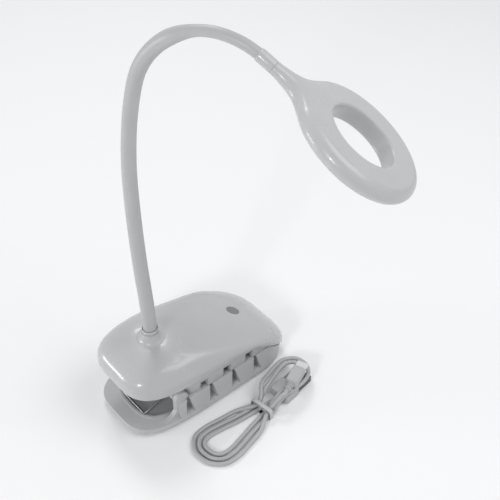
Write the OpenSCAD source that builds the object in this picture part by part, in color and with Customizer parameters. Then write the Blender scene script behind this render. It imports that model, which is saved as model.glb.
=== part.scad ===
// Clip-on desk lamp: a spring clip that houses the cell and the board, a bendable neck and a
// ring of lamps, with its charging lead tied up beside it.
// Row frame in millimetres: X runs along the clip towards its mouth, Z is up, and the origin
// is the middle of the foot pad's underside.

/* [Housing] */
// Half the housing's length
body_half_length = 57; // [50:1:64]
// Half the housing's width
body_half_width = 29.3; // [26:0.1:33]
// Middle of the housing along X
body_x = 4; // [0:1:8]
// Height of the housing's rim over most of its length
rim_z = 31.6; // [28:0.1:36]
// Height that the crown line starts from
crown_z = 55.5; // [50:0.5:60]
// Wall of the housing
wall = 2; // [1.5:0.1:3]

/* [Clip] */
// Hinge axis along X
hinge_x = -24; // [-28:0.5:-20]
// Hinge axis above the table
hinge_z = 20; // [18:0.5:24]
// Radius of the hinge pin
pin_r = 2; // [1.5:0.1:2.5]
// Height of the lower jaw's wall
jaw_top_z = 17.3; // [15:0.1:19]
// Pitch of the grip notches
notch_pitch = 16.8; // [14:0.1:20]
// Radius of the spring wire
wire_r = 0.7; // [0.5:0.1:0.9]

/* [Neck] */
// Radius of the neck
neck_r = 4; // [3:0.5:5]
// Radius of the neck's last stretch, where it enters the head
neck_end_r = 2.9; // [2.5:0.1:4]
// Place of the neck along X
neck_x = -25; // [-30:1:-15]
// Top of the collar at the neck's foot
neck_foot_z = 60; // [56:0.5:64]

/* [Head] */
// Outer radius of the ring
ring_r = 34; // [30:0.5:38]
// Radius of the hole in the ring
ring_hole_r = 17.8; // [15:0.2:20]
// Half the ring's thickness
ring_h = 4.8; // [4:0.1:6]
// Neck's end to the middle of the ring
stem_reach = 56.3; // [50:0.1:62]
// Turn of the ring about the neck's end
head_roll = -17.1; // [-45:0.1:45]
// Number of lamps on the ring
led_count = 24; // [12:2:36]

/* [Lead] */
// Diameter of the charging lead
lead_d = 2.6; // [2:0.1:3.2]
// Place of the tie along X
tie_x = 16; // [5:1:25]
// Place of the tie along Y
tie_y = -50.3; // [-60:0.1:-45]
// Direction that the tied lead lies in
lead_turn = 8.2; // [-20:0.1:30]

/* [Hidden] */
$fn = 64;
tiny = 0.02;

// Housing
ring_points = 64;
plan_power = 4;
rise_power = 3.56;
shrink_power = 1.74;
jaw_powers = [3.7, 5];
dome_steps = [0, 2, 5, 10, 18, 27, 36, 45, 54, 63, 72, 80, 87];
inner_dome_steps = [0, 5, 12, 24, 36, 50, 64, 77, 87];
plate_t = 2.2;
plate_inset = 1.7;
tub_gap = 0.3;
tub_floor_z = 19.5;
cell_z = 21.5;
board_z = 29.7;
board_t = 1.2;
boss_top_z = neck_foot_z - 2.6;
boss_top_r = neck_r + 0.7;
key_x = 34.5;
key_z = 33.6;
key_r = 4;
key_tilt = 20;
socket_at = [-12, 24.2, 36.7];
light_at = [-3, 27.4, 36.7];
screw_at = [[-44, 17], [-44, -17]];

// Clip
handle_z = 6.7;
pocket_z = 4.4;
hollow_z = 6.1;
hollow_y = 22;
deck_z = 12.8;
deck_t = 2;
notch_low_z = 6.9;
// Half widths of a lower notch, and the width of an upper one
notch_foot = 3.2;
notch_top = 0.9;
upper_notch_w = 5.6;
tower_y = 22;
tower_t = 3.4;
tower_r = 4.2;
lug_y = 18;
lug_t = 3.6;
deck_x = -13;
coil_r = 3.6;
coil_pitch = 1.9;
coil_start_y = 6;
coil_angles = [58, -1146];
bail_x = -42;
bail_z = 8;
leg_end = [-31, 28.7];

// Neck: length, bend and roll of each arc from the foot to the head
arcs = [[29.5, 9.6, 78.6], [26.9, 9.9, -29.1], [26.8, 9.9, 0],
        [60.8, 38.5, -148.7], [49.7, 53.4, 35.4], [37.5, 57, 7]];
ball_step = 0.2;
cup_step = 0.1;
ball_gap = 0.5;
cup_gap = 1;
foot_depth = 16;

// Head
head_split_z = -0.8;
collar_r = 3.3;
collar_start = 2.3;
collar_length = 6;
spigot_r = 1.8;
// Room between the neck's curved end and the flat end of the collar
end_gap = 0.3;

// Lead
lead_r = lead_d / 2;
strand_pitch = lead_d + 0.8;
loop_rings = 24;
first_pass = 90;
last_pass = 975;
left_reach = 42;
right_reach = 35.5;
left_swell = 14.4;
right_swell = 9.3;
pinch_half = strand_pitch / 2;
plug_lift = 6.2;
// Route points between the loops and the plugs, along the hank, across it and up
usb_end = [[13.2, -1, 3.1], [10.4, -1, 3.1], [8, -0.2, 2.6], [5.4, 0.9, 1.7], [2.6, 1.6, 1.3]];
micro_end = [[-5, -6, 3.6], [0.3, -4.6, 4.9], [3, -5.2, 7.4], [5.6, -6, 10], [8.4, -6.8, 12],
             [11.4, -7.2, 12.4], [14.1, -6.5, 12.4]];
micro_at = [14, -6.5, 12.4];
micro_turn = 14.8;
usb_at = [13, -1, 3.1];

// General solids

function unit(v) = v / norm(v);

// Joins rings of equally many points into one closed solid
module loft(rings) {
    n = len(rings[0]);
    m = len(rings);
    top = (m - 1) * n;
    sides = [for (j = [0:m - 2], i = [0:n - 1])
        let (a = j * n + i, b = j * n + (i + 1) % n) each [[a, a + n, b + n], [a, b + n, b]]];
    strips = [for (i = [0:n / 2 - 1])
        let (a = i, b = i + 1, c = n - i - 1, d = (n - i) % n)
        each concat(b == c ? [] : [[a, b, c]], a == d ? [] : [[a, c, d]])];
    caps = [for (t = strips) each [t, [t[2] + top, t[1] + top, t[0] + top]]];
    polyhedron(points = [for (r = rings) each r], faces = concat(sides, caps), convexity = 6);
}

// Tangents and carried normals along a route, then the rings of a tube
function tangents(p) = let (n = len(p))
    [for (i = [0:n - 1]) unit(p[min(i + 1, n - 1)] - p[max(i - 1, 0)])];
function carried(t, first) = [for (i = 0, v = first; i < len(t);
    i = i + 1, v = i < len(t) ? unit(v - (v * t[i]) * t[i]) : v) v];
function tube_rings(p, r, sides, first) = let (t = tangents(p), v = carried(t, first))
    [for (i = [0:len(p) - 1]) [for (k = [0:sides - 1])
        p[i] + r * (cos(360 * k / sides) * v[i] + sin(360 * k / sides) * cross(t[i], v[i]))]];

module tube(route, r, sides, first) {
    loft(tube_rings(route, r, sides, first));
}

// Rounded rectangle by half length, half width and power, at one height
function plan(a, b, cx, z, power) = two_power_plan(a, b, cx, z, [power, power]);

// The same with one power for the rear half and one for the front
function two_power_plan(a, b, cx, z, powers) = [for (i = [0:ring_points - 1])
    let (t = 360 * i / ring_points, c = cos(t), s = sin(t), power = powers[c > 0 ? 1 : 0],
         k = pow(pow(abs(c), power) + pow(abs(s), power), -1 / power))
    [cx + a * k * c, b * k * s, z]];

module plan_prism(a, b, cx, z0, z1, power) {
    loft([plan(a, b, cx, z0, power), plan(a, b, cx, z1, power)]);
}

// Plate with round corners, from its lowest corner
module slab(size, r) {
    linear_extrude(size[2]) {
        translate([r, 0]) square([size[0] - 2 * r, size[1]]);
        translate([0, r]) square([size[0], size[1] - 2 * r]);
        for (x = [r, size[0] - r], y = [r, size[1] - r]) translate([x, y]) circle(r = r);
    }
}

module across(y0, y1, r) {
    translate([0, y0, 0]) rotate([-90, 0, 0]) cylinder(h = y1 - y0, r = r);
}

module both_sides() {
    children();
    mirror([0, 1, 0]) children();
}

// Housing surfaces

function ramp(u, r) = (sqrt(u * u + r * r) + u) / 2;
function rim(x) = rim_z + 0.0018 * pow(max(0, -10 - x), 2) - 0.78 * ramp(x - 28.5, 8);
function crown(x, drop) = crown_z - drop - 0.4 * ramp(x + 16, 12);

// One ring of the dome, inset by the wall where asked
function dome_ring(angle, inset, sink) = let (
    shrink = pow(cos(angle), 2 / shrink_power), rise = pow(sin(angle), 2 / rise_power),
    flat = plan((body_half_length - inset) * shrink, (body_half_width - inset) * shrink,
                body_x, 0, plan_power))
    [for (p = flat) [p[0], p[1], rim(p[0]) - sink + (crown(p[0], inset) - rim(p[0])) * rise]];

module dome(inset, steps) {
    loft([for (a = steps) dome_ring(a, inset, 0)]);
}

module dome_hollow() {
    loft(concat([dome_ring(0, wall, 3)], [for (a = inner_dome_steps) dome_ring(a, wall, 0)]));
}

// A layer that follows the rim between two depths under it
module rim_layer(low, high, grow) {
    loft([dome_ring(0, -grow, low), dome_ring(0, -grow, high)]);
}

// Lower jaw

function jaw_ring(a, b, cx, z) = two_power_plan(a, b, cx, z, jaw_powers);

module lower_outside() {
    loft([jaw_ring(50.5, 24.5, 1.5, 0.8), jaw_ring(53.8, 28, 1.5, 2.2), jaw_ring(54.8, 29.1, 1.5, 3.6),
          jaw_ring(55, 29.3, 1.5, 5.2), jaw_ring(55.3, 28.8, 1.9, 6.6), jaw_ring(55.7, 27.6, 2.5, 11.5),
          jaw_ring(56.3, 26.4, 3.1, jaw_top_z)]);
}

// The hollow under the deck, the handle's shallow pocket and the recess over the foot pad
module lower_hollows() {
    intersection() {
        plan_prism(49, hollow_y, 1, hollow_z, 40, 5);
        translate([-27, -40, 0]) cube([90, 80, 40]);
    }
    intersection() {
        plan_prism(20.4, 19.7, -23, pocket_z, 40, 3);
        translate([-60, -40, 0]) cube([60 + deck_x, 80, 40]);
    }
    plan_prism(40, 19.5, 0, 0, 2.8, 5);
}

// Raised edge round the handle's pocket
module crescent_rib() {
    intersection() {
        difference() {
            plan_prism(22, 21.3, -23, handle_z - 1, handle_z + 0.9, 3);
            plan_prism(20.4, 19.7, -23, handle_z - 2, handle_z + 2, 3);
        }
        translate([-60, -40, 0]) cube([33.5, 80, 10]);
    }
}

module v_notches() {
    for (i = [0:3])
        translate([-20 + notch_pitch * i, -hollow_y + tiny, 0]) rotate([90, 0, 0]) linear_extrude(12)
            polygon([[-notch_foot, notch_low_z], [notch_foot, notch_low_z],
                     [notch_top, jaw_top_z + 1], [-notch_top, jaw_top_z + 1]]);
}

module hinge_tower() {
    translate([hinge_x, tower_y, 0]) {
        translate([-tower_r, 0, pocket_z]) cube([2 * tower_r, tower_t, hinge_z - pocket_z]);
        translate([0, 0, hinge_z]) across(0, tower_t, tower_r);
    }
}

module lower_shell() {
    color("gainsboro") difference() {
        union() {
            difference() {
                lower_outside();
                lower_hollows();
                translate([-70, -40, handle_z]) cube([43, 80, 30]);
            }
            crescent_rib();
            intersection() {
                lower_outside();
                translate([deck_x, -30, deck_z]) cube([70, 60, deck_t]);
            }
            both_sides() hinge_tower();
        }
        translate([hinge_x, 0, hinge_z]) across(-40, 40, pin_r + tiny);
        both_sides() v_notches();
        rim_layer(plate_t + 0.5, -40, 4);
    }
}

// Rubber pad of one jaw, grooved across the face that grips
module grip_pad(z0, z1) {
    color("dimgray") difference() {
        translate([-12.6, -20.8, z0]) slab([52.8, 41.6, z1 - z0], 4);
        for (i = [0:6])
            translate([-9 + 7.6 * i, -30, jaw_top_z - 0.9]) cube([1.4, 60, 2]);
    }
}

module lower_pad() {
    grip_pad(deck_z + deck_t + tiny, jaw_top_z - 0.1);
}

module foot_pad() {
    color("dimgray") plan_prism(41, 20.5, 0, 0, 0.8, 5);
}

module hinge_pin() {
    color("silver") translate([hinge_x, 0, hinge_z]) across(-25.3, 25.3, pin_r);
}

module pin_clips() {
    color("silver") both_sides() translate([hinge_x, 0, hinge_z]) difference() {
        across(16.9, 17.6, 3.4);
        across(16, 18.5, pin_r + tiny);
    }
}

function coil_point(angle, y) = [hinge_x + coil_r * cos(angle), y, hinge_z + coil_r * sin(angle)];
function coil_half() = let (steps = 35, turns = (coil_angles[0] - coil_angles[1]) / 360)
    concat([[leg_end[0], coil_start_y, leg_end[1]], [leg_end[0] + 2.2, coil_start_y, leg_end[1] - 1.4]],
        [for (i = [0:steps]) coil_point(coil_angles[0] + (coil_angles[1] - coil_angles[0]) * i / steps,
            coil_start_y + coil_pitch * turns * i / steps)]);
function bail_half() = let (y = coil_start_y + coil_pitch * (coil_angles[0] - coil_angles[1]) / 360)
    [[-33, y, 12.1], [-39.6, y, 9.2], [-41.4, y - 0.5, 8.3], [bail_x, y - 2, bail_z]];
function flip_y(p) = [for (i = [len(p) - 1:-1:0]) [p[i][0], -p[i][1], p[i][2]]];
function spring_route() = let (half = concat(coil_half(), bail_half())) concat(half, flip_y(half));

module clip_spring() {
    color("silver") tube(spring_route(), wire_r, 6, [0, 1, 0]);
}

// Upper jaw

module neck_boss() {
    translate([neck_x, 0, 0]) rotate_extrude() polygon([[0, 47], [9.5, 47], [8.8, 51], [7.4, 51.9],
        [6.4, 53], [5.7, 54.4], [5.2, 56], [boss_top_r, boss_top_z], [0, boss_top_z]]);
}

module upper_shell() {
    color("whitesmoke") difference() {
        union() {
            difference() {
                union() {
                    dome(0, dome_steps);
                    neck_boss();
                }
                dome_hollow();
            }
            translate([neck_x, 0, 47]) cylinder(h = 5, r = 8);
        }
        translate([neck_x, 0, 40]) cylinder(h = 30, r = neck_r - 0.08);
        translate([key_x, 0, key_z]) rotate([0, key_tilt, 0]) translate([0, 0, -6])
            cylinder(h = 12, r = key_r + 0.15);
        translate(socket_at) cube([8.2, 20, 3.4], center = true);
        translate([light_at[0], 20, light_at[2]]) across(0, 20, 1.2 + tiny);
    }
}

module upper_tub() {
    intersection() {
        loft([plan(33.2, 25.6, 13.8, jaw_top_z + 0.3, 8), plan(34, 26.2, 13.8, 24, 8),
              plan(35, 27, 13.8, 33, 8)]);
        rim_layer(40, tiny, -tub_gap);
    }
}

module upper_lug() {
    translate([hinge_x, lug_y, 0]) {
        translate([-tower_r, 0, hinge_z]) cube([2 * tower_r, lug_t, rim_z - hinge_z - 1]);
        translate([0, 0, hinge_z]) across(0, lug_t, tower_r);
    }
}

module upper_notches() {
    for (i = [0:2])
        translate([-8 - upper_notch_w / 2 + notch_pitch * i, hollow_y - tiny, jaw_top_z - 1])
            cube([upper_notch_w, 12, 8.6]);
}

module upper_plate() {
    color("gainsboro") difference() {
        union() {
            rim_layer(plate_t, tiny, -plate_inset);
            upper_tub();
            both_sides() upper_lug();
            for (p = screw_at) translate([p[0], p[1], rim(p[0]) - 1]) cylinder(h = 5, r = 2.6);
        }
        plan_prism(30, hollow_y, 13.5, cell_z - 0.2, 60, 6);
        translate([hinge_x, 0, hinge_z]) across(-40, 40, pin_r + 0.06);
        translate([hinge_x, 0, hinge_z]) across(-40, -lug_y - lug_t - tiny, tower_r + 0.5);
        translate([hinge_x, 0, hinge_z]) across(lug_y + lug_t + tiny, 40, tower_r + 0.5);
        both_sides() upper_notches();
        for (p = screw_at) translate([p[0], p[1], 20]) cylinder(h = 30, r = 1.3);
        translate([-13.2, -hollow_y, jaw_top_z - 1])
            slab([55.2, 2 * hollow_y, tub_floor_z - jaw_top_z + 1], 4.5);
    }
}

module upper_pad() {
    grip_pad(jaw_top_z + 0.4, tub_floor_z - tiny);
}

module battery_cell() {
    color("silver") translate([-12.5, -15.5, cell_z]) slab([42, 31, 7.8], 3);
}

module battery_leads() {
    color("firebrick") for (y = [-4, 4]) translate([-14, y, 25]) {
        rotate([0, 90, 0]) cylinder(h = 1.5, r = 0.6);
        cylinder(h = board_z - 25, r = 0.6);
        sphere(r = 0.6);
    }
}

module control_board() {
    color("darkgreen") translate([-14.8, -12.5, board_z]) slab([49, 25, board_t], 3);
}

module board_chips() {
    color("black") translate([0, 0, board_z + board_t]) {
        translate([0, 2, 0]) cube([7, 7, 1.2]);
        translate([-10, -8, 0]) cube([5, 6, 1.5]);
        translate([12, -9, 0]) cube([4, 5, 1]);
        translate([12, 4, 0]) cube([6, 3.2, 1.8]);
    }
}

module touch_key() {
    color("gray") translate([key_x, 0, key_z]) rotate([0, key_tilt, 0])
        translate([0, 0, -1.5]) cylinder(h = 2.1, r = key_r);
}

module touch_spring() {
    color("gold") translate([31.6, 0, board_z + board_t]) difference() {
        cylinder(h = 1.2, r = 1.8);
        translate([0, 0, -1]) cylinder(h = 4, r = 1.1);
    }
}

module charge_board() {
    color("darkgreen") translate([-20, 15, 34]) cube([19, 11.6, 1.2]);
    color("darkgreen") for (x = [-18, -3])
        translate([x, 24.6, rim_z]) cylinder(h = 2.6, r = 1.2);
}

module charge_socket() {
    color("silver") translate(socket_at) difference() {
        cube([7.6, 5.8, 3], center = true);
        translate([0, 1, 0]) cube([6.9, 5.8, 1.9], center = true);
    }
    color("black") translate([socket_at[0], socket_at[1] - 0.3, socket_at[2] + 0.2])
        cube([3.8, 4.6, 0.7], center = true);
}

module charge_light() {
    color("azure") translate([light_at[0], 0, light_at[2]]) across(24.2, 29, 1.2);
}

module plate_screws() {
    color("silver") for (p = screw_at)
        translate([p[0], p[1], rim(p[0]) - plate_t - 1.7]) difference() {
            union() {
                cylinder(h = 1.2, r = 2.3);
                cylinder(h = 7, r = 1.25);
            }
            translate([-1.6, -0.3, -0.1]) cube([3.2, 0.6, 0.7]);
            translate([-0.3, -1.6, -0.1]) cube([0.6, 3.2, 0.7]);
        }
}

// Neck

function about_z(a) = [[cos(a), -sin(a), 0], [sin(a), cos(a), 0], [0, 0, 1]];
function about_y(a) = [[cos(a), 0, sin(a)], [0, 1, 0], [-sin(a), 0, cos(a)]];
function bend_radius(k) = arcs[k][0] / (arcs[k][1] * PI / 180);
// Turn and place of the neck before arc k, the turn without that arc's own roll
function turn_at(k) = k == 0 ? [[1, 0, 0], [0, 1, 0], [0, 0, 1]]
    : turn_at(k - 1) * about_z(arcs[k - 1][2]) * about_y(arcs[k - 1][1]);
function place_at(k) = k == 0 ? [neck_x, 0, neck_foot_z]
    : place_at(k - 1) + turn_at(k - 1) * about_z(arcs[k - 1][2])
        * [bend_radius(k - 1) * (1 - cos(arcs[k - 1][1])), 0, bend_radius(k - 1) * sin(arcs[k - 1][1])];

module at_neck(k) {
    m = turn_at(k);
    p = place_at(k);
    multmatrix([[m[0][0], m[0][1], m[0][2], p[0]], [m[1][0], m[1][1], m[1][2], p[1]],
                [m[2][0], m[2][1], m[2][2], p[2]], [0, 0, 0, 1]]) children();
}

// Arc k as a tube that stops short of both its ends
module arc_tube(k, r, start, stop) {
    radius = bend_radius(k);
    degrees = arcs[k][1] / arcs[k][0];
    rotate([0, 0, arcs[k][2]]) translate([radius, 0, 0]) rotate([0, 0, 180]) rotate([90, 0, 0])
        rotate([0, 0, start * degrees]) rotate_extrude(angle = arcs[k][1] - (start + stop) * degrees)
            translate([radius, 0]) circle(r = r);
}

function arc_r(k) = k < len(arcs) - 1 ? neck_r : neck_end_r;

// Arc k, with a ball at its far end and a cup for the last arc's ball
module neck_arc(k) {
    last = k == len(arcs) - 1;
    color("gainsboro") difference() {
        union() {
            at_neck(k) arc_tube(k, arc_r(k), k > 0 ? cup_gap : 0, last ? collar_start + end_gap : ball_gap);
            if (!last) at_neck(k + 1) sphere(r = arc_r(k + 1) - ball_step);
            if (k == 0) at_neck(0) translate([0, 0, -foot_depth])
                cylinder(h = foot_depth + 1, r = neck_r - 0.1);
            if (last) at_neck(k + 1) translate([0, 0, -collar_start - 1])
                cylinder(h = collar_start + 5.5, r = spigot_r);
        }
        if (k > 0) at_neck(k) sphere(r = arc_r(k) - ball_step + cup_step);
    }
}

module neck_collar() {
    color("white") translate([neck_x, 0, boss_top_z]) difference() {
        cylinder(h = neck_foot_z - boss_top_z, r = boss_top_r);
        translate([0, 0, -1]) cylinder(h = 2, r = neck_r - 0.08);
        translate([0, 0, 0.8]) cylinder(h = 5, r = neck_r + 0.25);
    }
}

module neck_anchor() {
    color("silver") translate([neck_x, 0, 0]) difference() {
        union() {
            translate([0, 0, 44.2]) cylinder(h = 2.2, r = 6.5, $fn = 6);
            translate([0, 0, 46.4]) cylinder(h = 0.6, r = 7);
        }
        translate([0, 0, 40]) cylinder(h = 10, r = neck_r - 0.08);
    }
}

// Head, drawn with the ring's middle at the origin and the stem towards minus X

module at_head() {
    at_neck(len(arcs)) rotate([0, 0, head_roll]) rotate([0, -90, 0]) translate([stem_reach, 0, 0])
        children();
}

module ring_profile(inset) {
    offset_r = ring_h - inset;
    translate([ring_r - ring_h, 0]) circle(r = offset_r);
    translate([ring_hole_r + 1.2, -offset_r]) square([ring_r - ring_h - ring_hole_r - 1.2, 2 * offset_r]);
    translate([ring_hole_r + inset, 1.2 - offset_r]) square([2, 2 * offset_r - 2.4]);
    for (s = [-1, 1]) translate([ring_hole_r + inset + 1.2, s * (offset_r - 1.2)]) circle(r = 1.2);
}

// Stem's outline across its length: an ellipse at the collar that grows squarer towards the ring
function stem_ring(x, w, h, power) = [for (k = [0:23])
    let (c = cos(15 * k), s = sin(15 * k), q = pow(pow(abs(c), power) + pow(abs(s), power), -1 / power))
    [x, w * q * c, h * q * s]];

module stem() {
    loft([stem_ring(collar_length - stem_reach, collar_r, collar_r, 2), stem_ring(-47, 3.5, 3.4, 2),
          stem_ring(-43, 4.2, 3.8, 2.1), stem_ring(-39, 5.6, 4.2, 2.2), stem_ring(-36, 7.4, 4.5, 2.4),
          stem_ring(-33.5, 9.8, 4.7, 2.7), stem_ring(-31.5, 12.6, 4.75, 3), stem_ring(-29.5, 15.8, 4.75, 3.4),
          stem_ring(-28, 18, 4.7, 3.6)]);
}

module head_shell() {
    color("white") at_head() difference() {
        union() {
            rotate_extrude() intersection() {
                ring_profile(0);
                translate([10, head_split_z]) square([40, 20]);
            }
            difference() {
                stem();
                translate([0, 0, -20 + head_split_z]) cylinder(h = 20, r = ring_r + tiny);
                cylinder(h = 40, r = 24, center = true);
            }
        }
        rotate_extrude() intersection() {
            ring_profile(1.6);
            translate([10, -20]) square([40, 20 + 3.2]);
        }
        translate([-60, 0, 0]) rotate([0, 90, 0]) cylinder(h = 30, r = 1.4);
        for (s = [-1, 1]) rotate([0, 0, 90 * s]) translate([20.4, 0, -5]) cylinder(h = 7, r = 0.8);
    }
}

module head_bezel() {
    color("white") at_head() difference() {
        rotate_extrude() difference() {
            intersection() {
                ring_profile(0);
                translate([10, -20]) square([40, 20 + head_split_z - tiny]);
            }
            intersection() {
                ring_profile(1.6);
                translate([10, -3.1]) square([40, 20]);
            }
            translate([22, -10]) square([8.6, 20]);
        }
        for (s = [-1, 1]) rotate([0, 0, 90 * s]) translate([20.7, 0, -6]) cylinder(h = 12, r = 0.8);
    }
}

module diffuser() {
    color("ivory") at_head() rotate_extrude() union() {
        translate([22 + tiny, -4.5]) square([8.6 - 2 * tiny, 2.2]);
        translate([21, -3.1 + tiny]) square([2, 0.8]);
    }
}

module led_board() {
    color("white") at_head() translate([0, 0, 0.6]) difference() {
        cylinder(h = 1, r = 31.9);
        translate([0, 0, -1]) cylinder(h = 3, r = 19.5);
    }
}

module leds() {
    color("khaki") at_head() for (i = [0:led_count - 1])
        rotate([0, 0, 360 * (i + 0.5) / led_count]) translate([26.3, 0, 0.1])
            cube([3.5, 2.8, 1], center = true);
}

module head_collar() {
    color("white") at_head() translate([-stem_reach - collar_start, 0, 0]) rotate([0, 90, 0]) difference() {
        union() {
            cylinder(h = 0.5, r1 = collar_r - 0.4, r2 = collar_r);
            translate([0, 0, 0.5]) cylinder(h = collar_length + collar_start - 0.5, r = collar_r);
        }
        translate([0, 0, -1]) cylinder(h = collar_length + collar_start + 2, r = spigot_r + tiny);
    }
}

// Charging lead: a hank of two and a half turns, pinched in the middle by its tie

function side(c, left, right) = c < 0 ? left : right;
function hank_flat(turn) = let (c = cos(turn), s = sin(turn),
    reach = side(c, left_reach, right_reach), swell = side(c, left_swell, right_swell),
    u = reach * c * (1 + 0.25 * s * s))
    [u, s * (pinch_half + swell * pow(c * c + 0.01, 0.75)) + 0.1 * (sqrt(u * u + 36) - 6)];
function hank_out(turn) = let (d = unit(hank_flat(turn + 0.5) - hank_flat(turn - 0.5))) [d[1], -d[0]];
// Number of pitches that the strand lies outside the first turn, growing only round the right loop
function hank_step(turn) = let (n = floor((turn + 90) / 360), part = turn + 90 - 360 * n)
    n - 1 + min(1, part / 180);
function lift(u) = let (t = max(0, min(1, (u - 2) / 9))) plug_lift * t * t * (3 - 2 * t);
function hank_point(turn) = let (flat = hank_flat(turn), out = hank_out(turn),
    k = hank_step(turn), near = exp(-pow(flat[0] / 9, 2)),
    fold = 120 * near, extra = max(0, k - 1),
    far = min(k, 1) * strand_pitch + extra * strand_pitch * cos(fold),
    up = extra * strand_pitch * sin(fold))
    [flat[0] + out[0] * far, flat[1] + out[1] * far, lead_r + up + lift(flat[0])];
function hank_route() = concat(usb_end,
    [for (i = [0:(last_pass - first_pass) * loop_rings / 360])
        hank_point(first_pass + 360 * i / loop_rings)],
    micro_end);

// Least gap between stretches of the hank that aren't neighbours, on its route points
function least_gap(p, skip) = min([for (i = [0:len(p) - 1], j = [i + skip:1:len(p) - 1])
    let (a = p[j], b = p[min(j + 1, len(p) - 1)], d = b - a,
         t = d * d == 0 ? 0 : max(0, min(1, (p[i] - a) * d / (d * d))))
    norm(p[i] - a - t * d)]) - lead_d;

module at_lead() {
    translate([tie_x, tie_y, 0]) rotate([0, 0, lead_turn]) children();
}

module cord_hank() {
    color("gainsboro") at_lead() tube(hank_route(), lead_r, 6, [0, 0, 1]);
}

// Arch over the pinched strands, open towards the table
module cord_tie() {
    color("white") at_lead() difference() {
        loft([tie_ring(-2.2, 0.6), tie_ring(0.4, 0.6)]);
        loft([tie_ring(-3, 0), tie_ring(1, 0)]);
    }
}

function tie_ring(u, t) = let (w = 7.3 + t, low = t > 0 ? 0 : -1, high = 6.8 + t)
    [[u, w, low], [u, w, 4.2], [u, 5.9, high], [u, -5.9, high], [u, -w, 4.2], [u, -w, low]];

module usb_body() {
    color("gainsboro") at_lead() translate(usb_at) difference() {
        translate([0, -7, -3]) cube([11.5, 14, 6]);
        translate([-1, 0, 0]) rotate([0, 90, 0]) cylinder(h = 1.2, r = lead_r + 0.2);
    }
}

module usb_shell() {
    color("silver") at_lead() translate([usb_at[0] + 11.5, usb_at[1], usb_at[2]]) difference() {
        translate([0, -6, -2.25]) cube([12, 12, 4.5]);
        translate([0.3, -5.7, -1.95]) cube([13, 11.4, 3.9]);
        for (y = [-4.6, 1.6]) translate([4, y, -4]) cube([2.6, 3, 8]);
    }
}

module usb_tongue() {
    color("white") at_lead() translate([usb_at[0] + 11.8, usb_at[1] - 5.5, usb_at[2] - 1.9])
        cube([10.6, 11, 1.8]);
}

module at_micro() {
    at_lead() translate(micro_at) rotate([0, 0, micro_turn]) children();
}

module micro_body() {
    color("gainsboro") at_micro() translate([5, 0, 0]) loft([for (p = [[0, 3, 2.4], [1.5, 3.7, 3],
        [9, 3.9, 3.2], [11.5, 3.9, 3.1], [13, 3.6, 2.8]])
        [for (k = [0:23]) let (c = cos(15 * k), s = sin(15 * k),
            q = pow(pow(abs(c), 5) + pow(abs(s), 5), -0.2)) [p[0], p[1] * q * c, p[2] * q * s]]]);
}

module micro_relief() {
    color("gainsboro") at_micro() rotate([0, 90, 0]) union() {
        translate([0, 0, 0.1]) cylinder(h = 4.9, r1 = 1.6, r2 = 2.1);
        for (z = [1, 2.5, 4]) translate([0, 0, z]) cylinder(h = 0.7, r = 2.4);
    }
}

module micro_shell() {
    color("silver") at_micro() translate([18, 0, 0]) difference() {
        translate([0, -3.4, -0.9]) cube([5.4, 6.8, 1.8]);
        translate([0.3, -3.1, -0.6]) cube([6, 6.2, 1.2]);
    }
}

echo(hank_gap = least_gap(hank_route(), 5), spring_gap = least_gap(spring_route(), 6) + lead_d - 2 * wire_r);
echo(joints = [for (k = [1:5]) [place_at(k), turn_at(k) * [0, 0, 1]]]);
echo(ring_centre = place_at(6) + turn_at(6) * [0, 0, stem_reach], hank_length = let (p = hank_route())
    [for (i = [1:len(p) - 1]) norm(p[i] - p[i - 1])] * [for (i = [1:len(p) - 1]) 1]);

lower_shell();
lower_pad();
foot_pad();
hinge_pin();
pin_clips();
clip_spring();
upper_shell();
upper_plate();
upper_pad();
battery_cell();
battery_leads();
control_board();
board_chips();
touch_key();
touch_spring();
charge_board();
charge_socket();
charge_light();
plate_screws();
neck_collar();
neck_anchor();
neck_arc(0);  // neck_1
neck_arc(1);  // neck_2
neck_arc(2);  // neck_3
neck_arc(3);  // neck_4
neck_arc(4);  // neck_5
neck_arc(5);  // neck_6
head_collar();
head_shell();
head_bezel();
diffuser();
led_board();
leds();
cord_hank();
cord_tie();
usb_body();
usb_shell();
usb_tongue();
micro_body();
micro_relief();
micro_shell();
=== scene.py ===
import math

import bmesh
import bpy
from mathutils import Matrix, Vector


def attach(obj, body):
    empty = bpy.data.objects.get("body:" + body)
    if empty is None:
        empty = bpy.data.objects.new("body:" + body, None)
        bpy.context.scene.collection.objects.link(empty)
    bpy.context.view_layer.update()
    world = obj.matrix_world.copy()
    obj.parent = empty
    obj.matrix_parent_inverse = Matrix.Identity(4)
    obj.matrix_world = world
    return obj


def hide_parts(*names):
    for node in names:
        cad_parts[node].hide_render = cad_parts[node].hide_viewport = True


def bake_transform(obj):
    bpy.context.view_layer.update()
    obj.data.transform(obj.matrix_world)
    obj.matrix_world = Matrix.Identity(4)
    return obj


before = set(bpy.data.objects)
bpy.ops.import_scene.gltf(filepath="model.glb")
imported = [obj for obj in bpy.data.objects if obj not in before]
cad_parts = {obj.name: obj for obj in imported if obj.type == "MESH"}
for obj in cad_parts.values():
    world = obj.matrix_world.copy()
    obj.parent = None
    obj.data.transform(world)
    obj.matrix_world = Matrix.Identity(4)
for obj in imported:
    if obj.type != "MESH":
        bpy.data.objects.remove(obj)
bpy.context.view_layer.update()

# Sizes are in millimetres, as in the part's source, and are turned into metres where meshes are made
MM = 0.001

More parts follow.
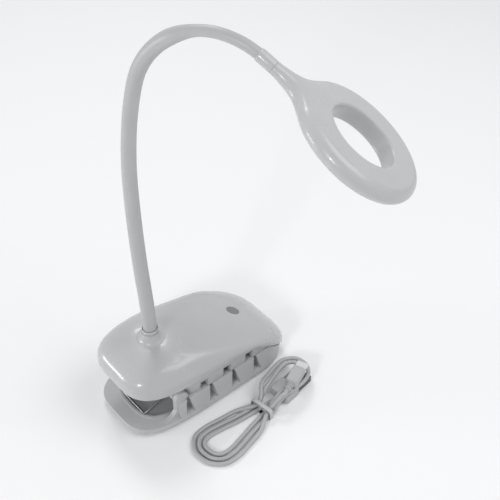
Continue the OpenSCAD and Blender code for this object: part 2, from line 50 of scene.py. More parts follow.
# Housing
BODY_X = 4.0
BODY_HALF_LENGTH = 57.0
BODY_HALF_WIDTH = 29.3
RIM_Z = 31.6
CROWN_Z = 55.5
WALL = 2.0
PLAN_POWER = 4.0
RISE_POWER = 3.56
SHRINK_POWER = 1.74
PLATE_T = 2.2
RIM_ROUND = 0.7
BOSS_TOP_Z = 57.4
BOSS_PROFILE = ((4.7, 57.4), (4.85, 56.6), (5.1, 55.6), (5.5, 54.4), (6.0, 53.4), (6.7, 52.5), (7.6, 51.95),
                (8.8, 51.6))
FOOT_COLLAR_R = 4.7
PLATE_INSET = 1.7
PLATE_GAP = 0.02
KEY_X = 34.5
KEY_R = 4.0

# Clip
HINGE = (-24.0, 20.0)
NOTCH_PITCH = 16.8
NOTCH_X = -20.0
NOTCH_FOOT = 3.2
NOTCH_TOP = 0.9
NOTCH_Z = (6.9, 18.3)
UPPER_NOTCH_X = -8.0
UPPER_NOTCH_W = 5.6
UPPER_NOTCH_Z = (16.3, 24.9)
WIRE_R = 0.7
COIL_R = 3.6
COIL_PITCH = 1.9
COIL_START_Y = 6.0
COIL_ANGLES = (58.0, -1146.0)

# Neck: length, bend and roll of each arc from the foot to the head
NECK_R = 4.0
NECK_END_R = 2.8
NECK_TAPER = (180.0, 200.0)
NECK_FOOT = (-25.0, 0.0, 60.0)
# Start of the sleeve inside the boss, the pitch of its rings, and a reach either side of each joint, at which
# neck points are worked out but not used
SLEEVE_START = -8.0
SLEEVE_STEP = 1.0
BLEND_REACH = 11.0
ARCS = ((29.5, 9.6, 78.6), (26.9, 9.9, -29.1), (26.8, 9.9, 0.0),
        (60.8, 38.5, -148.7), (49.7, 53.4, 35.4), (37.5, 57.0, 7.0))

# Head
RING_R = 34.0
HOLE_R = 17.8
RING_H = 4.8
STEM_REACH = 56.3
HEAD_ROLL = -17.1
HEAD_COLLAR_R = 3.3
HEAD_COLLAR_REACH = 2.3
HEAD_VOXEL = 0.42
EDGE_R = 1.2
LENS_SEAT = (22.0, 30.6, -2.6)

# Lead
LEAD_D = 2.6
STRAND_PITCH = LEAD_D + 0.8
TIE = (16.0, -50.3)
LEAD_TURN = 8.2
LOOP_RINGS = 24
PASSES = (90.0, 975.0)
REACH = (42.0, 35.5)
SWELL = (14.4, 9.3)
PLUG_LIFT = 6.2
USB_END = ((13.2, -1, 3.1), (10.4, -1, 3.1), (8, -0.2, 2.6), (5.4, 0.9, 1.7), (2.6, 1.6, 1.3))
MICRO_END = ((-5, -6, 3.6), (0.3, -4.6, 4.9), (3, -5.2, 7.4), (5.6, -6, 10), (8.4, -6.8, 12),
             (11.4, -7.2, 12.4), (14.1, -6.5, 12.4))
MICRO_AT = (14.0, -6.5, 12.4)
MICRO_TURN = 14.8
USB_AT = (13.0, -1.0, 3.1)

# Camera
CAMERA_AT = (-0.2040, -0.3006, 0.4289)
CAMERA_VIEW = (0.4777, 0.5693, -0.6691)
CAMERA_LENS = 64.8


# Camera and light

def make_camera():
    data = bpy.data.cameras.new("camera")
    data.lens = CAMERA_LENS
    data.sensor_width = 36.0
    camera = bpy.data.objects.new("camera", data)
    camera.location = CAMERA_AT
    camera.rotation_euler = Vector(CAMERA_VIEW).to_track_quat("-Z", "Y").to_euler()
    bpy.context.scene.collection.objects.link(camera)
    bpy.context.scene.camera = camera


def area_light(name, at, target, size, power):
    data = bpy.data.lights.new(name, "AREA")
    data.shape = "RECTANGLE"
    data.size, data.size_y = size
    data.energy = power
    light = bpy.data.objects.new(name, data)
    light.location = at
    light.rotation_euler = (Vector(target) - Vector(at)).to_track_quat("-Z", "Y").to_euler()
    bpy.context.scene.collection.objects.link(light)


def make_world():
    scene = bpy.context.scene
    scene.view_settings.view_transform = "Standard"
    world = bpy.data.worlds.new("studio")
    scene.world = world
    world.use_nodes = True
    nodes, links = world.node_tree.nodes, world.node_tree.links
    nodes.clear()
    path = nodes.new("ShaderNodeLightPath")
    either = nodes.new("ShaderNodeMath")
    either.operation = "MAXIMUM"
    anyway = nodes.new("ShaderNodeMath")
    anyway.operation = "MAXIMUM"
    seen = nodes.new("ShaderNodeBackground")
    seen.inputs["Color"].default_value = (1, 1, 1, 1)
    seen.inputs["Strength"].default_value = 1.0
    fill = nodes.new("ShaderNodeBackground")
    fill.inputs["Color"].default_value = (0.96, 0.975, 1, 1)
    fill.inputs["Strength"].default_value = 0.42
    mix = nodes.new("ShaderNodeMixShader")
    out = nodes.new("ShaderNodeOutputWorld")
    links.new(path.outputs["Is Camera Ray"], either.inputs[0])
    links.new(path.outputs["Is Glossy Ray"], either.inputs[1])
    links.new(either.outputs["Value"], anyway.inputs[0])
    links.new(path.outputs["Is Transmission Ray"], anyway.inputs[1])
    links.new(anyway.outputs["Value"], mix.inputs["Fac"])
    links.new(fill.outputs["Background"], mix.inputs[1])
    links.new(seen.outputs["Background"], mix.inputs[2])
    links.new(mix.outputs["Shader"], out.inputs["Surface"])


def make_lights():
    area_light("left_front", (-0.72, -0.33, 0.5), (-0.03, 0, 0.05), (0.14, 0.14), 2.0)
    area_light("left_back", (-0.75, 0.55, 0.16), (-0.03, 0, 0.05), (0.3, 0.14), 2.2)
    area_light("right_front", (0.4, -0.45, 0.82), (0, 0, 0.06), (0.6, 0.6), 3.2)
    area_light("back", (0.25, 0.6, 0.85), (0, 0, 0.06), (0.3, 0.3), 2.4)


def make_floor():
    size = 4.0
    mesh = bpy.data.meshes.new("floor")
    mesh.from_pydata([(-size, -size, 0), (size, -size, 0), (size, size, 0), (-size, size, 0)], [],
                     [(0, 1, 2, 3)])
    floor = bpy.data.objects.new("floor", mesh)
    bpy.context.scene.collection.objects.link(floor)
    mesh.materials.append(floor_material())


# Materials

def new_material(name):
    material = bpy.data.materials.new(name)
    material.use_nodes = True
    nodes, links = material.node_tree.nodes, material.node_tree.links
    nodes.clear()
    out = nodes.new("ShaderNodeOutputMaterial")
    shader = nodes.new("ShaderNodeBsdfPrincipled")
    links.new(shader.outputs["BSDF"], out.inputs["Surface"])
    place = nodes.new("ShaderNodeTexCoord")
    return material, nodes, links, shader, place


def noise(nodes, links, place, scale, detail=3.0):
    texture = nodes.new("ShaderNodeTexNoise")
    texture.inputs["Scale"].default_value = scale
    texture.inputs["Detail"].default_value = detail
    links.new(place.outputs["Object"], texture.inputs["Vector"])
    return texture.outputs["Fac"]


def spread(nodes, links, source, low, high):
    span = nodes.new("ShaderNodeMapRange")
    span.inputs["From Min"].default_value = 0.3
    span.inputs["From Max"].default_value = 0.7
    span.inputs["To Min"].default_value = low
    span.inputs["To Max"].default_value = high
    links.new(source, span.inputs["Value"])
    return span.outputs["Result"]


def surface(name, colour, rough, grain=900.0, bump=0.02, vary=0.02, metal=0.0, coat=0.0, scatter=0.0):
    """A moulded or rolled surface: slight tone changes, uneven gloss and a fine grain"""
    material, nodes, links, shader, place = new_material(name)
    tone = nodes.new("ShaderNodeMix")
    tone.data_type = "RGBA"
    tone.inputs["A"].default_value = [c * (1 - vary) for c in colour] + [1]
    tone.inputs["B"].default_value = [min(1, c * (1 + vary)) for c in colour] + [1]
    links.new(spread(nodes, links, noise(nodes, links, place, 60.0), 0, 1), tone.inputs["Factor"])
    links.new(tone.outputs["Result"], shader.inputs["Base Color"])
    links.new(spread(nodes, links, noise(nodes, links, place, 35.0, 5.0), rough * 0.85, rough * 1.15),
              shader.inputs["Roughness"])
    lift = nodes.new("ShaderNodeBump")
    lift.inputs["Strength"].default_value = bump
    lift.inputs["Distance"].default_value = 0.0002
    links.new(noise(nodes, links, place, grain, 2.0), lift.inputs["Height"])
    links.new(lift.outputs["Normal"], shader.inputs["Normal"])
    shader.inputs["Metallic"].default_value = metal
    shader.inputs["Coat Weight"].default_value = coat
    shader.inputs["Coat Roughness"].default_value = 0.08
    shader.inputs["Subsurface Weight"].default_value = scatter
    shader.inputs["Subsurface Scale"].default_value = 0.002
    return material


def floor_material():
    material, nodes, links, shader, place = new_material("pale_floor")
    tone = nodes.new("ShaderNodeMix")
    tone.data_type = "RGBA"
    tone.inputs["A"].default_value = (0.96, 0.96, 0.96, 1)
    tone.inputs["B"].default_value = (0.975, 0.975, 0.975, 1)
    links.new(noise(nodes, links, place, 3.0), tone.inputs["Factor"])
    links.new(tone.outputs["Result"], shader.inputs["Base Color"])
    shader.inputs["Roughness"].default_value = 0.7
    return material


def make_materials():
    return {
        "shell": surface("shell_plastic", (0.475, 0.48, 0.49), 0.26, coat=0.3, grain=260.0, bump=0.006),
        "jaw": surface("jaw_plastic", (0.48, 0.485, 0.495), 0.42, grain=260.0, bump=0.01),
        "sleeve": surface("neck_sleeve", (0.45, 0.455, 0.465), 0.4, grain=300.0, bump=0.01),
        "ring": surface("ring_plastic", (0.5, 0.505, 0.515), 0.3, coat=0.2, grain=260.0, bump=0.006),
        "rubber": surface("grip_rubber", (0.06, 0.062, 0.065), 0.7, bump=0.15, grain=500.0),
        # The steel is darkened as painted shade: its low colour stands for the shadow and dark reflections
        # along the spring wire
        "steel": surface("steel_painted_shade", (0.2, 0.2, 0.21), 0.34, metal=1.0, grain=400.0),
        "key": surface("key_plastic", (0.16, 0.165, 0.17), 0.38, coat=0.2, grain=400.0),
        "lens": surface("lens_plastic", (0.7, 0.7, 0.68), 0.4, scatter=0.4, grain=400.0),
        "lead": surface("lead_jacket", (0.43, 0.435, 0.445), 0.42, grain=400.0, bump=0.03),
        "plug": surface("plug_plastic", (0.44, 0.445, 0.455), 0.45, grain=400.0),
        "chrome": surface("plug_chrome", (0.62, 0.62, 0.64), 0.16, metal=1.0, grain=400.0),
        # The large plug's shell is chrome. This dark copy of the chrome is painted shade, standing for the
        # shadow and dark reflections where it lies under the small plug
        "chrome_painted_shade": surface("chrome_painted_shade", (0.12, 0.12, 0.125), 0.35, metal=1.0, grain=400.0),
        "tie": surface("tie_plastic", (0.52, 0.525, 0.535), 0.5, bump=0.05, grain=400.0),
        "board": surface("circuit_board", (0.02, 0.13, 0.05), 0.35, vary=0.2, grain=500.0),
        "chips": surface("chip_resin", (0.02, 0.02, 0.02), 0.5, bump=0.1, grain=500.0),
        "cell": surface("cell_wrap", (0.5, 0.51, 0.53), 0.3, metal=0.8, grain=400.0),
        "wires": surface("wire_red", (0.35, 0.02, 0.015), 0.4, grain=400.0),
        "gold": surface("gold_plate", (0.75, 0.5, 0.16), 0.25, metal=1.0, grain=400.0),
        "lamps": surface("lamp_resin", (0.8, 0.62, 0.12), 0.3, grain=400.0),
    }


CAD_FINISHES = {
    "lower_pad": "rubber", "upper_pad": "rubber", "foot_pad": "rubber", "hinge_pin": "steel",
    "pin_clips": "steel", "plate_screws": "steel", "neck_anchor": "steel", "charge_socket": "steel",
    "battery_cell": "cell", "battery_leads": "wires", "control_board": "board",
    "charge_board": "board", "board_chips": "chips", "touch_spring": "gold", "charge_light": "lens",
    # The large plug's shell takes the dark chrome, painted shade for the shadow it lies in
    "led_board": "tie", "leds": "lamps", "usb_tongue": "tie", "usb_shell": "chrome_painted_shade",
    "micro_shell": "chrome",
}


def finish_cad_nodes(materials):
    for node, finish in CAD_FINISHES.items():
        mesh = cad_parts[node].data
        mesh.materials.clear()
        mesh.materials.append(materials[finish])


# Meshes

def mark_edges(mesh, limit):
    """Smooth faces, with edges sharper than the limit left crisp"""
    work = bmesh.new()
    work.from_mesh(mesh)
    bmesh.ops.recalc_face_normals(work, faces=work.faces)
    for face in work.faces:
        face.smooth = True
    for edge in work.edges:
        edge.smooth = len(edge.link_faces) != 2 or edge.calc_face_angle(0.0) < math.radians(limit)
    work.to_mesh(mesh)
    work.free()


def piece(name, body, slot, material, points, faces, limit=32.0):
    mesh = bpy.data.meshes.new(name)
    mesh.from_pydata([tuple(c * MM for c in p) for p in points], [], faces)
    mark_edges(mesh, limit)
    mesh.materials.append(material)
    thing = bpy.data.objects.new(name, mesh)
    bpy.context.scene.collection.objects.link(thing)
    if body:
        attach(thing, body)
    return thing


def loft(rings, caps=True):
    """Points and faces of a skin through rings of equally many points"""
    count = len(rings[0])
    points = [p for ring in rings for p in ring]
    faces = []
    for j in range(len(rings) - 1):
        for i in range(count):
            k = (i + 1) % count
            faces.append((j * count + i, j * count + k, (j + 1) * count + k, (j + 1) * count + i))
    if caps:
        faces.append(tuple(range(count - 1, -1, -1)))
        faces.append(tuple((len(rings) - 1) * count + i for i in range(count)))
    return points, faces


def lathe(profile, steps=96, turn=None, closed=False):
    """A profile of radius and height turned about Z, then placed by a matrix"""
    rings = []
    for radius, height in list(profile) + ([profile[0]] if closed else []):
        ring = [Vector((radius * math.cos(2 * math.pi * i / steps),
                        radius * math.sin(2 * math.pi * i / steps), height)) for i in range(steps)]
        rings.append([tuple(turn @ p) if turn else tuple(p) for p in ring])
    return loft(rings, caps=not closed)


def combine(thing, operation, points, faces):
    """Takes a closed shape out of a piece, or joins it on"""
    mesh = bpy.data.meshes.new("tool")
    mesh.from_pydata([tuple(c * MM for c in p) for p in points], [], faces)
    mark_edges(mesh, 30.0)
    tool = bpy.data.objects.new("tool", mesh)
    bpy.context.scene.collection.objects.link(tool)
    modifier = thing.modifiers.new("combine", "BOOLEAN")
    modifier.operation = operation
    modifier.solver = "MANIFOLD"
    modifier.object = tool
    apply_modifiers(thing)
    bpy.data.objects.remove(tool)


def cut(thing, points, faces):
    combine(thing, "DIFFERENCE", points, faces)


def join(thing, points, faces):
    combine(thing, "UNION", points, faces)


def apply_modifiers(thing):
    graph = bpy.context.evaluated_depsgraph_get()
    graph.update()
    result = bpy.data.meshes.new_from_object(thing.evaluated_get(graph))
    thing.modifiers.clear()
    thing.data = result


def prism(outline, low, high, axis="z"):
    """A closed prism over an outline, along Z or along Y"""
    def at(p, h):
        return (p[0], p[1], h) if axis == "z" else (p[0], h, p[1])
    return loft([[at(p, low) for p in outline], [at(p, high) for p in outline]])


def round_box(low, high, radius, steps=5):
    """A box with rounded upright corners and softened top and bottom edges"""
    def outline(inset, z):
        points = []
        for turn, (cx, cy) in enumerate(((high[0], high[1]), (low[0], high[1]), (low[0], low[1]),
                                         (high[0], low[1]))):
            mx = cx - math.copysign(radius, cx - (low[0] + high[0]) / 2)
            my = cy - math.copysign(radius, cy - (low[1] + high[1]) / 2)
            for i in range(steps + 1):
                a = math.radians(90 * turn + 90 * i / steps)
                points.append((mx + (radius - inset) * math.cos(a), my + (radius - inset) * math.sin(a), z))
        return points
    soft = min(radius * 0.6, (high[2] - low[2]) / 3)
    bends = [math.radians(90 * i / 4) for i in range(5)]
    rings = [outline(soft * (1 - math.sin(b)), low[2] + soft * (1 - math.cos(b))) for b in bends]
    rings += [outline(soft * (1 - math.cos(b)), high[2] - soft * (1 - math.sin(b))) for b in bends]
    return loft(rings)


def moved(points, matrix):
    return [tuple(matrix @ Vector(p)) for p in points]


# Housing surfaces, by the formulas of the part's source

def ramp(u, r):
    return (math.sqrt(u * u + r * r) + u) / 2


def rim(x):
    return RIM_Z + 0.0018 * max(0.0, -10 - x) ** 2 - 0.78 * ramp(x - 28.5, 8)


def crown(x, drop=0.0):
    return CROWN_Z - drop - 0.4 * ramp(x + 16, 12)


def plan(half_length, half_width, middle, power=PLAN_POWER, count=256, front=None):
    points = []
    for i in range(count):
        c, s = math.cos(2 * math.pi * i / count), math.sin(2 * math.pi * i / count)
        q = front if front and c > 0 else power
        k = (abs(c) ** q + abs(s) ** q) ** (-1 / q)
        points.append((middle + half_length * k * c, half_width * k * s))
    return points


def dome_ring(angle, inset, lift=0.0):
    shrink = math.cos(math.radians(angle)) ** (2 / SHRINK_POWER)
    rise = math.sin(math.radians(angle)) ** (2 / RISE_POWER)
    flat = plan((BODY_HALF_LENGTH - inset) * shrink, (BODY_HALF_WIDTH - inset) * shrink, BODY_X)
    return [(x, y, rim(x) + lift + (crown(x, max(0.0, inset)) - rim(x)) * rise) for x, y in flat]


def dome_z(x, y):
    """Height of the housing's outer surface over a point"""
    part = (abs((x - BODY_X) / BODY_HALF_LENGTH) ** PLAN_POWER
            + abs(y / BODY_HALF_WIDTH) ** PLAN_POWER) ** (1 / PLAN_POWER)
    tall = math.sqrt(max(0.0, 1 - part ** SHRINK_POWER)) ** (2 / RISE_POWER)
    return rim(x) + (crown(x) - rim(x)) * tall


def make_housing(materials):
    steps = 54
    angles = [89.9 * (i / steps) ** 1.7 for i in range(1, steps + 1)]
    rings = [dome_ring(a, 0) for a in reversed(angles)]
    for i in range(5):
        bend = math.radians(22.5 * i)
        rings.append(dome_ring(0, RIM_ROUND * (1 - math.cos(bend)), RIM_ROUND * (1 - math.sin(bend)) * 0.6))
    rings += [dome_ring(0, WALL)] + [dome_ring(a, WALL) for a in angles[::3]]
    housing = piece("housing", "upper_jaw", "shell_white", materials["shell"], *loft(rings))
    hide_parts("upper_shell")


def make_boss(materials):
    """The boss under the neck, whose foot follows the dome"""
    steps = 128
    foot_z = BOSS_PROFILE[-1][1]
    rings = []
    route = smooth_route([(r, 0, z) for r, z in BOSS_PROFILE], 4)
    last_r = BOSS_PROFILE[-1][0]
    for radius, _, height in route:
        share = (BOSS_TOP_Z - height) / (BOSS_TOP_Z - foot_z)
        ring = []
        for i in range(steps):
            a = 2 * math.pi * i / steps
            x, y = NECK_FOOT[0] + radius * math.cos(a), radius * math.sin(a)
            foot = dome_z(NECK_FOOT[0] + last_r * math.cos(a), last_r * math.sin(a)) - 0.05
            ring.append((x, y, BOSS_TOP_Z + (foot - BOSS_TOP_Z) * share))
        rings.append(ring)
    piece("neck_boss", "upper_jaw", "shell_white", materials["shell"], *loft(rings, caps=False), limit=60.0)


def make_foot_collar(materials):
    turn = Matrix.Translation((NECK_FOOT[0], 0, 0))
    r = FOOT_COLLAR_R
    profile = [(NECK_R + 0.02, 57.6), (r - 0.45, 57.7), (r - 0.45, 59.6), (r - 0.35, 59.85), (r - 0.2, 59.97),
               (r - 0.08, 59.9), (r, 59.7), (r, BOSS_TOP_Z + 0.3), (r - 0.12, BOSS_TOP_Z + 0.1),
               (r - 0.3, BOSS_TOP_Z - 0.2), (NECK_R + 0.02, BOSS_TOP_Z - 0.2)]
    collar = piece("foot_collar", "upper_jaw", "shell_white", materials["ring"],
                   *lathe(profile, 96, turn, closed=True), limit=50.0)
    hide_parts("neck_collar")


def make_key(materials):
    """The touch key, which follows the dome and stands just proud of it"""
    rings = []
    for share, lift in ((1.0, -0.3), (1.0, 0.08), (0.985, 0.18), (0.95, 0.24), (0.9, 0.25), (0.86, 0.2),
                        (0.8, 0.16), (0.5, 0.18), (0.02, 0.2)):
        ring = []
        for i in range(96):
            a = 2 * math.pi * i / 96
            x, y = KEY_X + KEY_R * share * math.cos(a), KEY_R * share * math.sin(a)
            ring.append((x, y, dome_z(x, y) + lift))
        rings.append(ring)
    key = piece("key_disc", "upper_jaw", "key_grey", materials["key"], *loft(rings))
    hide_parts("touch_key")


# Jaws

LOWER_SECTIONS = ((50.5, 24.5, 1.5, 0.8), (53.8, 28, 1.5, 2.2), (54.8, 29.1, 1.5, 3.6), (55, 29.3, 1.5, 5.2),
                  (55.3, 28.8, 1.9, 6.6), (55.7, 27.6, 2.5, 11.5), (56.3, 26.4, 3.1, 17.3))
JAW_POWERS = (3.7, 5)
TUB_SECTIONS = ((33.2, 25.6, 13.8, 17.6), (34, 26.2, 13.8, 24), (35, 27, 13.8, 33))
HANDLE_Z = 6.7
POCKET_Z = 4.4
HOLLOW_Z = 6.1
HOLLOW_Y = 22.0
# Start of the deck along X, its underside and its top
DECK = (-13.0, 12.8, 14.8)
HANDLE_END = -27.0
TOWER_R = 4.2
TOWER_Y = 25.4
LUG_Y = (18.0, 21.6)
LUG_TOP_Z = 30.6
# Corner of the wall's sweep down to the handle, its reach, its height and its outer side
SWEEP = (-37.0, 14.5, 9.8, 7.8)
SWEEP_Y = 25.2
# Half length, middle and power of the recess for the upper pad, and of the cell's pocket
PAD_RECESS = (27.6, 14.4, 9)
CELL_POCKET = (30, 13.5, 6)
PAD_RECESS_Z = (16.0, 19.5)
CELL_POCKET_Z = (21.3, 50.0)
# Past the outside of the jaws
BEYOND = 40.0
RIM_MARGIN = 6.0


def sections_loft(sections, power=PLAN_POWER, count=192, front=None):
    return loft([[(x, y, s[3]) for x, y in plan(s[0], s[1], s[2], power, count, front)] for s in sections])


def rounded_sections(sections, parts=4):
    """The sections with a rounded run between them"""
    ends = [Vector(s) for s in sections]
    return smooth_route(ends, parts)


def rim_layer(margin, low_drop, high_drop, count=120):
    """A slab between two depths under the rim, in strips across its width"""
    rings = []
    for i in range(1, count):
        c, s = math.cos(math.pi * i / count), math.sin(math.pi * i / count)
        k = (abs(c) ** PLAN_POWER + s ** PLAN_POWER) ** (-1 / PLAN_POWER)
        x, y = BODY_X + (BODY_HALF_LENGTH + margin) * k * c, (BODY_HALF_WIDTH + margin) * k * s
        low, high = rim(x) - low_drop, rim(x) - high_drop
        rings.append([(x, -y, low), (x, y, low), (x, y, high), (x, -y, high)])
    return loft(rings)


def flat_prism(half_length, half_width, middle, power, low, high, limits=(-90.0, 90.0)):
    """A prism over a rounded rectangle, kept between two limits along X"""
    outline = [(min(max(x, limits[0]), limits[1]), y)
               for x, y in plan(half_length, half_width, middle, power, 160)]
    return prism(outline, low, high)


def v_notch(x, side):
    low, high = NOTCH_Z
    outline = [(x - NOTCH_FOOT, low), (x + NOTCH_FOOT, low), (x + NOTCH_TOP, high), (x - NOTCH_TOP, high)]
    near, far = sorted(((HOLLOW_Y - 0.02) * side, BEYOND * side))
    return prism(outline, near, far, "y")


def sweep_outline():
    """The hollow curve by which a jaw wall runs down to the handle"""
    x, z, long_r, high_r = SWEEP
    foot = HANDLE_Z - 0.3
    curve = [(x + long_r * math.cos(math.radians(9 * i)), z - high_r * math.sin(math.radians(9 * i)))
             for i in range(11)]
    return curve + [(x, foot), (x + long_r + 1, foot), (x + long_r + 1, z)]


def across(x, z, radius, near, far, steps=64):
    """A round bar along Y"""
    low, high = sorted((near, far))
    turn = Matrix.Translation((x, high, z)) @ Matrix.Rotation(math.radians(90), 4, "X")
    return lathe([(radius, 0), (radius, high - low)], steps, turn)


def box_faces(low, high):
    outline = [(low[0], low[1]), (high[0], low[1]), (high[0], high[1]), (low[0], high[1])]
    return prism(outline, low[2], high[2])


def make_lower_jaw(materials):
    jaw = piece("lower_jaw_shell", None, "jaw_white", materials["jaw"],
                *sections_loft(rounded_sections(LOWER_SECTIONS), JAW_POWERS[0], front=JAW_POWERS[1]))
    cut(jaw, *box_faces((-70, -BEYOND, HANDLE_Z), (HANDLE_END, BEYOND, 47)))
    for low, high, limits in ((HOLLOW_Z, DECK[1], (HANDLE_END - 0.1, 90)),
                              (DECK[1] - 0.01, BEYOND, (HANDLE_END - 0.1, DECK[0])),
                              (DECK[2], BEYOND, (DECK[0] - 0.01, 90))):
        cut(jaw, *flat_prism(49, HOLLOW_Y, 1, 5, low, high, limits))
    join(jaw, *flat_prism(22, 21.3, -23, 3, HANDLE_Z - 1, HANDLE_Z + 0.9, (-90, HANDLE_END + 0.5)))
    cut(jaw, *flat_prism(20.4, 19.7, -23, 3, POCKET_Z, 12, (-90, DECK[0])))
    for side in (-1, 1):
        low, high = sorted((side * HOLLOW_Y, side * TOWER_Y))
        join(jaw, *box_faces((HINGE[0] - TOWER_R, low, POCKET_Z), (HINGE[0] + TOWER_R, high, HINGE[1])))
        join(jaw, *across(*HINGE, TOWER_R, low, high))
        join(jaw, *prism(sweep_outline(), *sorted((side * HOLLOW_Y, side * SWEEP_Y)), "y"))
    for i in range(4):
        for side in (-1, 1):
            cut(jaw, *v_notch(NOTCH_X + NOTCH_PITCH * i, side))
    cut(jaw, *rim_layer(RIM_MARGIN, PLATE_T + 0.5, -BEYOND))
    soften(jaw, 0.3)
    mark_edges(jaw.data, 28.0)
    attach(jaw, "lower_jaw")
    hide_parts("lower_shell")


def soften(thing, width):
    """Rounds the crisp edges of a piece a little"""
    modifier = thing.modifiers.new("soften", "BEVEL")
    modifier.width = width * MM
    modifier.segments = 2
    modifier.limit_method = "ANGLE"
    modifier.angle_limit = math.radians(38)
    modifier.harden_normals = False
    apply_modifiers(thing)


def make_upper_jaw(materials):
    tub = piece("upper_jaw_tub", None, "jaw_white", materials["jaw"], *sections_loft(TUB_SECTIONS, 8))
    for side in (-1, 1):
        low, high = sorted((side * LUG_Y[0], side * LUG_Y[1]))
        join(tub, *box_faces((HINGE[0] - TOWER_R, low, HINGE[1]), (HINGE[0] + TOWER_R, high, LUG_TOP_Z)))
        join(tub, *across(*HINGE, TOWER_R, low, high))
    cut(tub, *rim_layer(RIM_MARGIN, 0.3, -BEYOND))
    for (length, middle, power), span in ((PAD_RECESS, PAD_RECESS_Z), (CELL_POCKET, CELL_POCKET_Z)):
        cut(tub, *flat_prism(length, HOLLOW_Y, middle, power, *span))
    for i in range(3):
        start = UPPER_NOTCH_X - UPPER_NOTCH_W / 2 + NOTCH_PITCH * i
        foot, top = UPPER_NOTCH_Z
        for side in (-1, 1):
            near, far = sorted((side * (HOLLOW_Y - 0.02), side * BEYOND))
            cut(tub, *box_faces((start, near, foot), (start + UPPER_NOTCH_W, far, top)))
    for side in (-1, 1):
        cut(tub, *across(*HINGE, TOWER_R + 0.5, side * (LUG_Y[1] + 0.02), side * BEYOND))
    soften(tub, 0.25)
    mark_edges(tub.data, 28.0)
    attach(tub, "upper_jaw")
    plate = piece("upper_jaw_plate", "upper_jaw", "jaw_white", materials["jaw"],
                  *rim_layer(-PLATE_INSET, PLATE_T, PLATE_GAP))
    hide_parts("upper_plate")


# Wires and tubes

def smooth_route(points, parts):
    """A rounded route through the points"""
    line = [Vector(p) for p in points]
    route = []
    for i in range(len(line) - 1):
        before, a, b = line[max(0, i - 1)], line[i], line[i + 1]
        after = line[min(len(line) - 1, i + 2)]
        for j in range(parts):
            t = j / parts
            route.append(0.5 * ((2 * a) + (b - before) * t + (2 * before - 5 * a + 4 * b - after) * t ** 2
                                + (3 * a - before - 3 * b + after) * t ** 3))
    return route + [line[-1]]


def wire(name, route, radius, body, material):
    data = bpy.data.curves.new(name, "CURVE")
    data.dimensions = "3D"
    data.bevel_depth = radius * MM
    data.bevel_resolution = 5
    data.use_fill_caps = True
    spline = data.splines.new("POLY")
    spline.points.add(len(route) - 1)
    for point, place in zip(spline.points, route):
        point.co = (place[0] * MM, place[1] * MM, place[2] * MM, 1)
    data.materials.append(material)
    thing = bpy.data.objects.new(name, data)
    bpy.context.scene.collection.objects.link(thing)
    if body:
        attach(thing, body)
    return thing


def tube_skin(route, radii, sides=48):
    """Rings round a route, carried along it without twist"""
    count = len(route)
    along = [(route[min(i + 1, count - 1)] - route[max(i - 1, 0)]).normalized() for i in range(count)]
    across_it = Vector((1, 0, 0))
    rings = []
    for place, ahead, radius in zip(route, along, radii):
        across_it = (across_it - across_it.dot(ahead) * ahead).normalized()
        beside = ahead.cross(across_it)
        rings.append([tuple(place + radius * (math.cos(2 * math.pi * k / sides) * across_it
                                              + math.sin(2 * math.pi * k / sides) * beside))
                      for k in range(sides)])
    return rings


# Spring

def coil_half():
    steps = 70
    turns = (COIL_ANGLES[0] - COIL_ANGLES[1]) / 360
    points = [(-31.0, COIL_START_Y, 28.7), (-28.8, COIL_START_Y, 27.3)]
    for i in range(steps + 1):
        a = math.radians(COIL_ANGLES[0] + (COIL_ANGLES[1] - COIL_ANGLES[0]) * i / steps)
        points.append((HINGE[0] + COIL_R * math.cos(a), COIL_START_Y + COIL_PITCH * turns * i / steps,
                       HINGE[1] + COIL_R * math.sin(a)))
    y = COIL_START_Y + COIL_PITCH * turns
    return points + [(-33, y, 12.1), (-39.6, y, 9.2), (-41.4, y - 0.5, 8.3), (-42, y - 2, 8)]


def make_spring(materials):
    half = coil_half()
    route = half + [(x, -y, z) for x, y, z in reversed(half)]
    fine = smooth_route(route, 2)
    # The spring takes the darkened steel, painted shade for its shadow and dark reflections
    spring = piece("torsion_spring", None, "steel", materials["steel"],
                   *loft(tube_skin(fine, [WIRE_R] * len(fine), 14)), limit=60.0)
    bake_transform(spring)
    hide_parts("clip_spring")


# Neck

def neck_frames():
    """Turn and place before each arc and after the last, without the next arc's roll"""
    turn, place = Matrix.Identity(3), Vector(NECK_FOOT)
    frames = [(turn, place)]
    for length, bend, roll in ARCS:
        radius = length / math.radians(bend)
        rolled = turn @ Matrix.Rotation(math.radians(roll), 3, "Z")
        step = Vector((radius * (1 - math.cos(math.radians(bend))), 0, radius * math.sin(math.radians(bend))))
        place = place + rolled @ step
        turn = rolled @ Matrix.Rotation(math.radians(bend), 3, "Y")
        frames.append((turn, place))
    return frames


FRAMES = neck_frames()


def neck_point(run):
    """A point on the neck's centre line, by its distance from the foot"""
    if run < 0:
        return Vector(NECK_FOOT) + Vector((0, 0, run))
    for (length, bend, roll), (turn, place) in zip(ARCS, FRAMES):
        if run <= length or (length, bend, roll) == ARCS[-1]:
            radius = length / math.radians(bend)
            part = math.radians(bend) * run / length
            rolled = turn @ Matrix.Rotation(math.radians(roll), 3, "Z")
            return place + rolled @ Vector((radius * (1 - math.cos(part)), 0, radius * math.sin(part)))
        run -= length


def sleeve_r(run):
    share = max(0.0, min(1.0, (run - NECK_TAPER[0]) / (NECK_TAPER[1] - NECK_TAPER[0])))
    return NECK_R + (NECK_END_R - NECK_R) * share * share * (3 - 2 * share)


